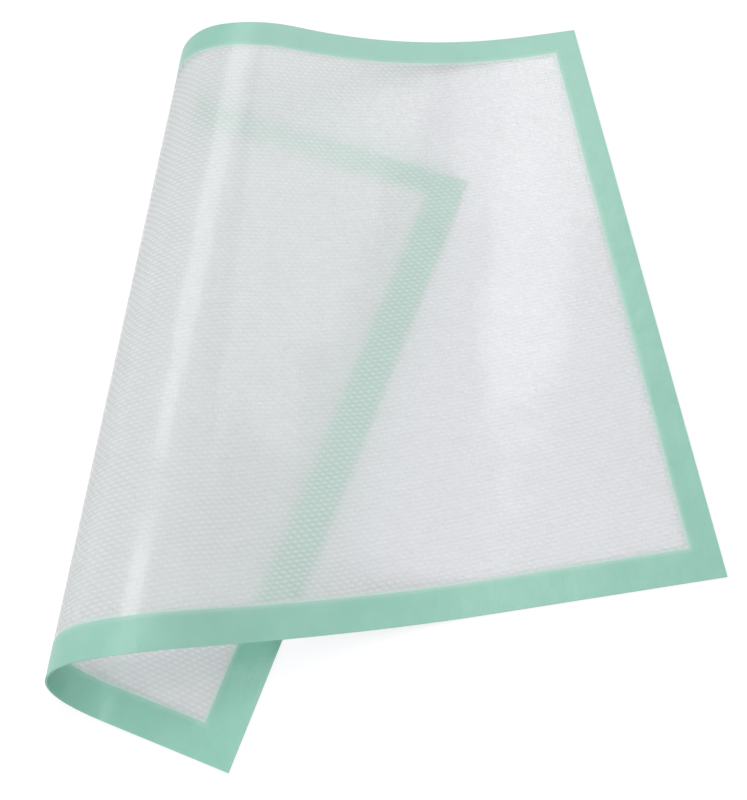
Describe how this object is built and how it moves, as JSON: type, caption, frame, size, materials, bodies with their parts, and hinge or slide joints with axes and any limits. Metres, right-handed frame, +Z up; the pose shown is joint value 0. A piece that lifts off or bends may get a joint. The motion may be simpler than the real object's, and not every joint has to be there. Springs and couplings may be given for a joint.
{
  "type": "silicone baking mat",
  "caption": "Rectangular non-stick baking mat of woven glass fibre coated in translucent silicone, with a mint green border, lying with one end folded loosely under.",
  "frame": {"origin": "on the table, under the middle of the folded mat's outline", "axes": "+Z up from the table; +Y along the fold's crease lines, from the front edge to the back edge; +X from the fold towards the end that lies flat"},
  "size_m": [0.2778, 0.3916, 0.0464],
  "materials": {
    "glass_fibre": "white plain-woven glass fibre, soaked in silicone",
    "clear_silicone": "milky translucent silicone rubber, satin, with the weave showing through as a fine relief",
    "mint_silicone": "opaque mint green silicone rubber, smooth and satin"
  },
  "bodies": {
    "root": {"glass_fibre_mesh": "glass_fibre", "outer_silicone_coat": "clear_silicone", "inner_silicone_coat": "clear_silicone", "edge_seal": "mint_silicone", "outer_border_band": "mint_silicone", "inner_border_band": "mint_silicone"}
  },
  "joints": []
}
